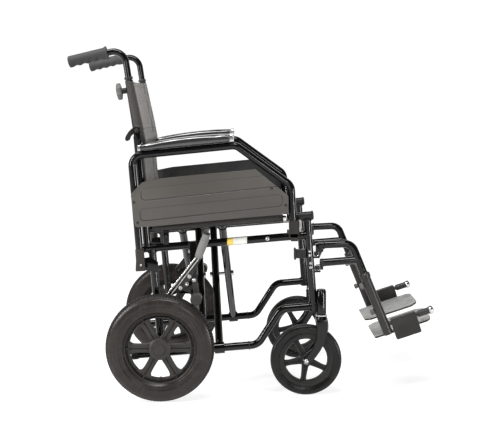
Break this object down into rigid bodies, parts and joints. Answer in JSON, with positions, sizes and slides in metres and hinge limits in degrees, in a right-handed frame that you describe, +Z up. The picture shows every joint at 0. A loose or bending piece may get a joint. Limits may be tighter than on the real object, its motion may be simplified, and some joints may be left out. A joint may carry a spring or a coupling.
{
  "type": "manual wheelchair",
  "caption": "Folding transit wheelchair with cross brace, flip-back armrests, swing-away legrests, push handles and wheel-lock brakes.",
  "frame": {"origin": "on the floor under the middle of the whole chair", "axes": "+X the way the sitter faces, +Y to the sitter's left, +Z up"},
  "size_m": [1.016, 0.622, 0.9787],
  "materials": {
    "gloss_black_paint": "gloss black powder coat on steel tube",
    "satin_black_tube": "satin black coat",
    "chrome": "bright zinc or chrome fasteners",
    "tyre_rubber": "matt dark grey rubber",
    "castor_rubber": "matt black rubber",
    "rim_plastic": "satin dark grey plastic",
    "black_plastic": "satin black plastic",
    "black_rubber": "matt black rubber",
    "grey_plastic": "satin mid-grey plastic",
    "grip_rubber": "soft dark grey rubber",
    "arm_pad": "soft black skin over foam",
    "panel_plastic": "satin warm grey moulded plastic",
    "footplate_plastic": "textured light grey plastic",
    "sling_fabric": "dark coated nylon"
  },
  "bodies": {
    "frame_right": {"side_frame_right": "gloss_black_paint", "tipping_tip_right": "black_rubber", "rear_axle_right": "black_plastic", "arm_front_socket_right": "grey_plastic", "brake_bracket_right": "gloss_black_paint", "back_sling_lower": "sling_fabric"},
    "cross_inner": {"cross_brace_inner": "gloss_black_paint", "brace_bolt_rear": "chrome", "brace_bolt_front": "chrome", "seat_sling": "sling_fabric"},
    "cross_outer": {"cross_brace_outer": "gloss_black_paint"},
    "frame_left": {"side_frame_left": "gloss_black_paint", "tipping_tip_left": "black_rubber", "rear_axle_left": "black_plastic", "arm_front_socket_left": "grey_plastic", "brake_bracket_left": "gloss_black_paint"},
    "rear_wheel_left": {"rear_tyre_left": "tyre_rubber", "rear_wheel_left": "rim_plastic"},
    "castor_fork_left": {"castor_fork_left": "gloss_black_paint", "castor_axle_left": "chrome"},
    "castor_wheel_left": {"castor_tyre_left": "castor_rubber", "castor_wheel_left": "black_plastic"},
    "armrest_left": {"armrest_frame_left": "gloss_black_paint", "armrest_socket_left": "grey_plastic", "armrest_pad_left": "arm_pad", "side_panel_left": "panel_plastic"},
    "upper_back_left": {"upper_cane_left": "gloss_black_paint"},
    "back_release_left": {"back_release_left": "black_plastic"},
    "push_handle_left": {"push_handle_left": "gloss_black_paint", "hand_grip_left": "grip_rubber"},
    "star_knob_left": {"star_knob_left": "black_plastic"},
    "legrest_left": {"legrest_hanger_left": "gloss_black_paint"},
    "legrest_latch_left": {"legrest_latch_left": "black_plastic"},
    "footrest_left": {"footrest_tube_left": "satin_black_tube"},
    "footplate_left": {"footplate_left": "footplate_plastic"},
    "brake_lever_left": {"brake_lever_left": "grip_rubber"},
    "brake_shoe_left": {"brake_shoe_left": "grey_plastic"},
    "rear_wheel_right": {"rear_tyre_right": "tyre_rubber", "rear_wheel_right": "rim_plastic"},
    "castor_fork_right": {"castor_fork_right": "gloss_black_paint", "castor_axle_right": "chrome"},
    "castor_wheel_right": {"castor_tyre_right": "castor_rubber", "castor_wheel_right": "black_plastic"},
    "armrest_right": {"armrest_frame_right": "gloss_black_paint", "armrest_socket_right": "grey_plastic", "armrest_pad_right": "arm_pad", "side_panel_right": "panel_plastic"},
    "upper_back_right": {"upper_cane_right": "gloss_black_paint", "back_sling_upper": "sling_fabric"},
    "back_release_right": {"back_release_right": "black_plastic"},
    "push_handle_right": {"push_handle_right": "gloss_black_paint", "hand_grip_right": "grip_rubber"},
    "star_knob_right": {"star_knob_right": "black_plastic"},
    "legrest_right": {"legrest_hanger_right": "gloss_black_paint"},
    "legrest_latch_right": {"legrest_latch_right": "black_plastic"},
    "footrest_right": {"footrest_tube_right": "satin_black_tube"},
    "footplate_right": {"footplate_right": "footplate_plastic"},
    "brake_lever_right": {"brake_lever_right": "grip_rubber"},
    "brake_shoe_right": {"brake_shoe_right": "grey_plastic"}
  },
  "joints": [
    {"name": "fold", "type": "hinge", "parent": "frame_right", "child": "cross_inner", "pos_m": [-0.262, -0.216, 0.1216], "axis": [0.9972, 0, 0.075], "range_deg": [0, 33], "deforming": ["seat_sling", "back_sling_lower", "back_sling_upper"]},
    {"name": "fold_centre", "type": "hinge", "parent": "cross_inner", "child": "cross_outer", "pos_m": [-0.27525, 0, 0.2978], "axis": [0.9972, 0, 0.075], "range_deg": [-66.5, 0]},
    {"name": "fold_left", "type": "hinge", "parent": "cross_outer", "child": "frame_left", "pos_m": [-0.262, 0.216, 0.1216], "axis": [0.9972, 0, 0.075], "range_deg": [0, 33.5]},
    {"name": "rear_wheel_left_roll", "type": "hinge", "parent": "frame_left", "child": "rear_wheel_left", "pos_m": [-0.262, 0.281, 0.1507], "axis": [0, 1, 0], "continuous": true},
    {"name": "castor_left_swivel", "type": "hinge", "parent": "frame_left", "child": "castor_fork_left", "pos_m": [0.188, 0.224, 0.215], "axis": [0, 0, 1], "continuous": true},
    {"name": "castor_left_roll", "type": "hinge", "parent": "castor_fork_left", "child": "castor_wheel_left", "pos_m": [0.1444, 0.224, 0.10025], "axis": [0, 1, 0], "continuous": true},
    {"name": "armrest_left_flip", "type": "hinge", "parent": "frame_left", "child": "armrest_left", "pos_m": [-0.3123, 0.244, 0.378], "axis": [0, -1, 0], "range_deg": [0, 95]},
    {"name": "back_left_fold", "type": "hinge", "parent": "frame_left", "child": "upper_back_left", "pos_m": [-0.32, 0.216, 0.748], "axis": [0, -1, 0], "range_deg": [0, 90]},
    {"name": "back_release_left_press", "type": "hinge", "parent": "frame_left", "child": "back_release_left", "pos_m": [-0.32, 0.216, 0.748], "axis": [0, -1, 0], "range_deg": [0, 20], "stiffness_Nm_per_rad": 0.5},
    {"name": "handle_left_height", "type": "slide", "parent": "upper_back_left", "child": "push_handle_left", "axis": [-0.1392, 0, 0.9903], "range_m": [0, 0.08]},
    {"name": "star_knob_left_turn", "type": "hinge", "parent": "upper_back_left", "child": "star_knob_left", "pos_m": [-0.33559, 0.216, 0.85891], "axis": [-0.9903, 0, -0.1392], "range_deg": [0, 180]},
    {"name": "legrest_left_swing", "type": "hinge", "parent": "frame_left", "child": "legrest_left", "pos_m": [0.1763, 0.216, 0.412], "axis": [-0.0723, 0, 0.9974], "range_deg": [0, 90]},
    {"name": "legrest_latch_left_press", "type": "hinge", "parent": "legrest_left", "child": "legrest_latch_left", "pos_m": [0.188, 0.197, 0.418], "axis": [0, -1, 0], "range_deg": [0, 20], "stiffness_Nm_per_rad": 0.5},
    {"name": "footrest_left_length", "type": "slide", "parent": "legrest_left", "child": "footrest_left", "axis": [0.3746, 0, -0.9272], "range_m": [0, 0.07]},
    {"name": "footplate_left_flip", "type": "hinge", "parent": "footrest_left", "child": "footplate_left", "pos_m": [0.438, 0.216, 0.21753], "axis": [-0.9511, 0, -0.309], "range_deg": [0, 90]},
    {"name": "brake_left_lever", "type": "hinge", "parent": "frame_left", "child": "brake_lever_left", "pos_m": [-0.205, 0.247, 0.311], "axis": [0, -1, 0], "range_deg": [0, 35]},
    {"name": "brake_left_shoe", "type": "hinge", "parent": "frame_left", "child": "brake_shoe_left", "pos_m": [-0.167, 0.247, 0.333], "axis": [0, -1, 0], "range_deg": [0, 10.5]},
    {"name": "rear_wheel_right_roll", "type": "hinge", "parent": "frame_right", "child": "rear_wheel_right", "pos_m": [-0.262, -0.281, 0.1507], "axis": [0, 1, 0], "continuous": true},
    {"name": "castor_right_swivel", "type": "hinge", "parent": "frame_right", "child": "castor_fork_right", "pos_m": [0.188, -0.224, 0.215], "axis": [0, 0, 1], "continuous": true},
    {"name": "castor_right_roll", "type": "hinge", "parent": "castor_fork_right", "child": "castor_wheel_right", "pos_m": [0.1444, -0.224, 0.10025], "axis": [0, 1, 0], "continuous": true},
    {"name": "armrest_right_flip", "type": "hinge", "parent": "frame_right", "child": "armrest_right", "pos_m": [-0.3123, -0.244, 0.378], "axis": [0, -1, 0], "range_deg": [0, 95]},
    {"name": "back_right_fold", "type": "hinge", "parent": "frame_right", "child": "upper_back_right", "pos_m": [-0.32, -0.216, 0.748], "axis": [0, -1, 0], "range_deg": [0, 90]},
    {"name": "back_release_right_press", "type": "hinge", "parent": "frame_right", "child": "back_release_right", "pos_m": [-0.32, -0.216, 0.748], "axis": [0, -1, 0], "range_deg": [0, 20], "stiffness_Nm_per_rad": 0.5},
    {"name": "handle_right_height", "type": "slide", "parent": "upper_back_right", "child": "push_handle_right", "axis": [-0.1392, 0, 0.9903], "range_m": [0, 0.08]},
    {"name": "star_knob_right_turn", "type": "hinge", "parent": "upper_back_right", "child": "star_knob_right", "pos_m": [-0.33559, -0.216, 0.85891], "axis": [-0.9903, 0, -0.1392], "range_deg": [0, 180]},
    {"name": "legrest_right_swing", "type": "hinge", "parent": "frame_right", "child": "legrest_right", "pos_m": [0.1763, -0.216, 0.412], "axis": [0.0723, 0, -0.9974], "range_deg": [0, 90]},
    {"name": "legrest_latch_right_press", "type": "hinge", "parent": "legrest_right", "child": "legrest_latch_right", "pos_m": [0.188, -0.197, 0.418], "axis": [0, -1, 0], "range_deg": [0, 20], "stiffness_Nm_per_rad": 0.5},
    {"name": "footrest_right_length", "type": "slide", "parent": "legrest_right", "child": "footrest_right", "axis": [0.3746, 0, -0.9272], "range_m": [0, 0.07]},
    {"name": "footplate_right_flip", "type": "hinge", "parent": "footrest_right", "child": "footplate_right", "pos_m": [0.438, -0.216, 0.21753], "axis": [0.9511, 0, 0.309], "range_deg": [0, 90]},
    {"name": "brake_right_lever", "type": "hinge", "parent": "frame_right", "child": "brake_lever_right", "pos_m": [-0.205, -0.247, 0.311], "axis": [0, -1, 0], "range_deg": [0, 35]},
    {"name": "brake_right_shoe", "type": "hinge", "parent": "frame_right", "child": "brake_shoe_right", "pos_m": [-0.167, -0.247, 0.333], "axis": [0, -1, 0], "range_deg": [0, 10.5]}
  ],
  "couplings": [
    {"joint": "fold_centre", "follows": "fold", "ratio": -2},
    {"joint": "fold_left", "follows": "fold", "ratio": 1},
    {"joint": "footplate_left_flip", "follows": "fold", "ratio": 2.72},
    {"joint": "brake_left_shoe", "follows": "brake_left_lever", "ratio": 0.29},
    {"joint": "footplate_right_flip", "follows": "fold", "ratio": 2.72},
    {"joint": "brake_right_shoe", "follows": "brake_right_lever", "ratio": 0.29},
    {"joint": "back_left_fold", "follows": "back_right_fold", "ratio": 1}
  ]
}
